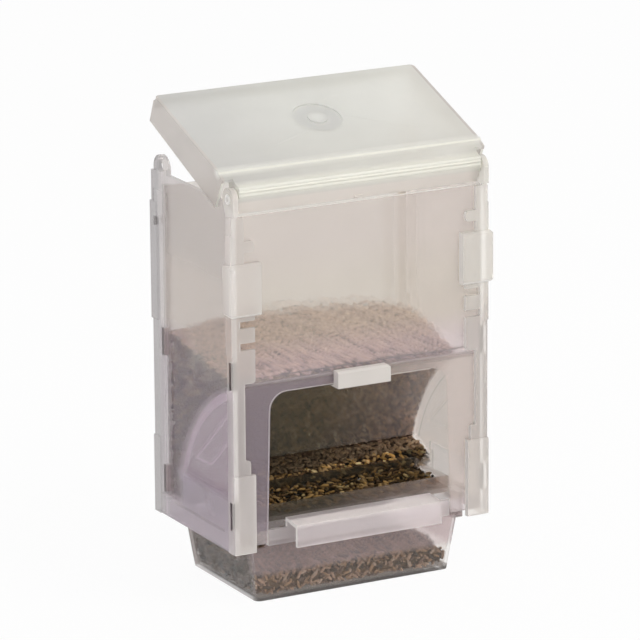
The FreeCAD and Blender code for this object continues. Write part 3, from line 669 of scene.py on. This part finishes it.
# behind the baffle the seed is darkest to the left, as painted shade, and lighter and bluer to the right
def behindTones(spot, tone, deep):
    side = ramp(spot[:, :1], *behindTone["sideX"])
    return tone * (1 + deep * (behindTone["right"] * side ** 3 - behindTone["left"] * (1 - side)))


rng = np.random.default_rng(7)
spot, axes, size, normal = packGrains(rng, heapRoom, hopper)
tone, dustAndLight = heapTones(rng, spot, normal)
tone, tongue = tongueTones(spot, tone)
fromArc = np.hypot(spot[:, 1] - hopper["arcY"], spot[:, 2] - hopper["arcZ"])
lower = fromArc < hopper["arcR"] + hopper["baffleReach"]
tone = behindTones(spot, tone, lower[:, None] & ~tongue & (dustAndLight < behindTone["dustAndLightLimit"]))
left = spot[:, 0] < 0
for name, part in (("heapGrainsLeft", ~lower & left), ("heapGrainsRight", ~lower & ~left),
                   ("baffleGrainsLeft", lower & left), ("baffleGrainsRight", lower & ~left)):
    grains = grainMesh(name, spot[part], axes[part], size[part], tone[part])
    seedPiece(grains, "feeder_body", "hopper_seed", seedHusk)
seedPiece(heapCore(), "feeder_body", "hopper_seed", seedDeep)
print("hopper kernels:", len(spot), "behind the baffle:", int(lower.sum()))

trough = {"halfWidth": 0.0522, "front": -0.0238, "back": 0.0044, "floor": 0.0374,
          "marginX": 0.002, "marginY": 0.0015, "jitter": 0.4, "jitterZ": 0.0008,
          "pitch": (0.0024, 0.0026, 0.0033), "lift": (0.0010, 0.0024, 0.0039), "tilt": 0.28,
          "shades": (0.3, 1.0, 1.5), "tint": (0.58, 0.55, 0.38)}


# loose kernels on the trough floor: a jittered lattice for each layer, one layer over the other
def strewGrains(rng):
    endX = trough["halfWidth"] - trough["marginX"]
    parts = []
    for pitch, lift in zip(trough["pitch"], trough["lift"]):
        x, y = np.meshgrid(np.arange(-endX, endX, pitch),
                           np.arange(trough["front"] + trough["marginY"],
                                     trough["back"] - trough["marginY"], pitch))
        p = np.stack([x.ravel(), y.ravel(), np.full(x.size, trough["floor"] + lift)], 1)
        p += rng.uniform(-trough["jitter"], trough["jitter"], p.shape) * [pitch, pitch, trough["jitterZ"]]
        axes = lyingAxes(rng, np.tile([0.0, 0.0, 1.0], (len(p), 1)), trough["tilt"])
        parts.append([p, axes, kernelSizes(rng, len(p))])
    return [np.concatenate(v) for v in zip(*parts)]


spot, axes, size = strewGrains(rng)
half = np.abs(axes[:, 0] * size[:, :1] / 2)
keep = (spot[:, 1] - half[:, 1] > trough["front"]) & (spot[:, 1] + half[:, 1] < trough["back"])
keep &= np.abs(spot[:, 0]) + half[:, 0] < trough["halfWidth"]
spot, axes, size = spot[keep], axes[keep], size[keep]
# the tint darkens and yellows the trough's kernels: painted shade in the niche under the baffle
tone = grainTones(rng, len(spot)) * rng.choice(trough["shades"], (len(spot), 1)) * trough["tint"]
seedPiece(grainMesh("troughGrains", spot, axes, size, tone), "feeder_body", "trough_seed", seedHusk)
print("trough kernels:", len(spot))

drawer = {"halfWidth": 0.0482, "front": -0.0287, "back": 0.0315, "floor": 0.0019, "draft": 0.13,
          "top": 0.0123, "dip": 0.0018, "inset": 0.0018,
          "low": (-0.051, -0.032, 0.001), "high": (0.051, 0.035, 0.0145),
          "pitch": 0.0024, "tilt": 0.85, "stretch": 1.25,
          "own": 0.8, "tint": (1.05, 1.02, 1.20), "haze": 0.06,
          "shadeX": -0.0465, "shadeY": -0.0265, "shade": 0.62}


# the top of the spilled seed: two low waves, one across and one aslant
def drawerTop(x, y):
    return drawer["top"] + 0.0012 * np.sin(95 * x + 0.6) + 0.0009 * np.sin(150 * y + 60 * x)


# how far a point is outside the spilled seed: walls lean outwards by the draft, and the top is wavy
def drawerRoom(p):
    x, y, z = p.T
    lean = drawer["draft"] * z
    walls = np.maximum(np.abs(x) - drawer["halfWidth"] - lean,
                       np.maximum(y - drawer["back"] - lean, drawer["front"] - lean - y))
    return np.maximum(walls, np.maximum(drawer["floor"] - z, z - drawerTop(x, y)))


# the core of the spilled seed: leaning walls inside the kernels, from the floor up to under the wavy top
def drawerCore():
    d = drawer["inset"]
    z = np.array([drawer["floor"] + d, drawer["top"] - drawer["dip"] - d])[:, None]
    lean = drawer["draft"] * z - d
    x = np.array([-1, 1, 1, -1]) * (drawer["halfWidth"] + lean)
    y = np.array([0, 0, 1, 1]) * (drawer["back"] - drawer["front"] + 2 * lean) + drawer["front"] - lean
    return loftMesh("drawerCore", np.stack([x, y, np.broadcast_to(z, x.shape)], -1))


spot, axes, size, _ = packGrains(rng, drawerRoom, drawer)
shaded = (spot[:, :1] < drawer["shadeX"]) & (spot[:, 1:2] > drawer["shadeY"])  # along the left wall
tone = drawer["own"] * grainTones(rng, len(spot)) * drawer["tint"] + drawer["haze"]
tone *= 1 - drawer["shade"] * shaded
left = spot[:, 0] < 0
for name, part in (("drawerGrainsLeft", left), ("drawerGrainsRight", ~left)):
    grains = grainMesh(name, spot[part], axes[part], size[part], tone[part])
    seedPiece(grains, "drawer", "drawer_seed", seedHusk)
seedPiece(drawerCore(), "drawer", "drawer_seed", seedDeep)
print("drawer kernels:", len(spot))

# lamps by place, width, power and colour
studio = {"floorSize": 4.0, "floorZ": -0.0002, "floorColour": (0.94, 0.94, 0.94), "floorCloud": 0.98,
          "cloudScale": 3.0, "floorRough": 0.9, "lift": 0.95, "sky": 0.6, "lampAim": (0.0, 0.0, 0.1),
          "key": ((0.9, -1.3, 1.5), 1.0, 14.0, (1.0, 0.95, 0.89)),
          "fill": ((-1.4, -0.8, 0.7), 1.0, 3.0, (0.97, 0.95, 1.0))}


# 1 for rays that bring the background to the eye: straight, through the plastic or off it
def seenByEye(tree):
    path = put(tree, "ShaderNodeLightPath")
    seen = maths(tree, "MAXIMUM", path.outputs["Is Camera Ray"], path.outputs["Is Transmission Ray"])
    return maths(tree, "MAXIMUM", seen, path.outputs["Is Glossy Ray"])


# pale floor: its own colour and shadow, lifted towards white where the camera sees it
def floorMaterial():
    mat, tree, bsdf = newMaterial("paleFloor")
    coords = put(tree, "ShaderNodeTexCoord").outputs["Object"]
    soft = noise(tree, coords, studio["cloudScale"])
    cloud = tuple(studio["floorCloud"] * c for c in studio["floorColour"])
    tree.links.new(mixColour(tree, soft, studio["floorColour"], cloud), bsdf.inputs["Base Color"])
    bsdf.inputs["Roughness"].default_value = studio["floorRough"]
    glow = put(tree, "ShaderNodeEmission")
    mix = put(tree, "ShaderNodeMixShader")
    tree.links.new(maths(tree, "MULTIPLY", seenByEye(tree), studio["lift"]), mix.inputs[0])
    tree.links.new(bsdf.outputs[0], mix.inputs[1])
    tree.links.new(glow.outputs[0], mix.inputs[2])
    tree.links.new(mix.outputs[0], tree.nodes["Material Output"].inputs[0])
    return mat


s = studio["floorSize"]
z = studio["floorZ"]
mesh = bpy.data.meshes.new("studioFloor")
mesh.from_pydata([(-s, -s, z), (s, -s, z), (s, s, z), (-s, s, z)], [], [(0, 1, 2, 3)])
floor = bpy.data.objects.new("studioFloor", mesh)
floor.data.materials.append(floorMaterial())
bpy.context.collection.objects.link(floor)

# white sky to the eye, dimmer as a light
world = bpy.data.worlds.new("studioSky")
bpy.context.scene.world = world
world.use_nodes = True
tree = world.node_tree
sky = tree.nodes["Background"]
sky.inputs["Color"].default_value = (1.0, 1.0, 1.0, 1.0)
strength = maths(tree, "MULTIPLY_ADD", seenByEye(tree), 1.0 - studio["sky"], studio["sky"])
tree.links.new(strength, sky.inputs["Strength"])

for name in ("key", "fill"):
    place, width, power, tint = studio[name]
    lamp = bpy.data.lights.new(name + "Lamp", "AREA")
    lamp.size = width
    lamp.energy = power
    lamp.color = tint
    obj = bpy.data.objects.new(name + "Lamp", lamp)
    bpy.context.collection.objects.link(obj)
    obj.location = place
    obj.rotation_euler = (Vector(studio["lampAim"]) - Vector(place)).to_track_quat("-Z", "Y").to_euler()
print("studio lit")

# the photograph's view: turned to the left of the front, a little above, with a long lens
photoView = {"azimuth": -28.10, "elevation": 15.54, "roll": -0.42, "distance": 2.2758, "sensor": 36.0,
             "centre": (0.0, 0.0, 0.107), "aimUp": 0.01119, "aimRight": -0.00015, "lens": 279.72}
az, el, roll = (radians(photoView[k]) for k in ("azimuth", "elevation", "roll"))
back = Vector((sin(az) * cos(el), -cos(az) * cos(el), sin(el)))
right = Vector((cos(az), sin(az), 0.0))
up = back.cross(right)
right, up = right * cos(roll) + up * sin(roll), up * cos(roll) - right * sin(roll)
centre = Vector(photoView["centre"])
eye = centre + back * photoView["distance"]
aim = centre + up * photoView["aimUp"] + right * photoView["aimRight"]
back = (eye - aim).normalized()
right = (right - back * right.dot(back)).normalized()
up = back.cross(right)
camera = bpy.data.cameras.new("photoCamera")
camera.lens = photoView["lens"]
camera.sensor_width = photoView["sensor"]
view = bpy.data.objects.new("photoCamera", camera)
bpy.context.collection.objects.link(view)
view.matrix_world = Matrix.Translation(eye) @ Matrix((right, up, back)).transposed().to_4x4()
bpy.context.scene.camera = view
bpy.context.scene.view_settings.view_transform = "Standard"
# light passes many sheets, two faces each
bpy.context.scene.cycles.transparent_max_bounces = 32
bpy.context.scene.cycles.max_bounces = 24
bpy.context.scene.cycles.transmission_bounces = 24
print("camera set")
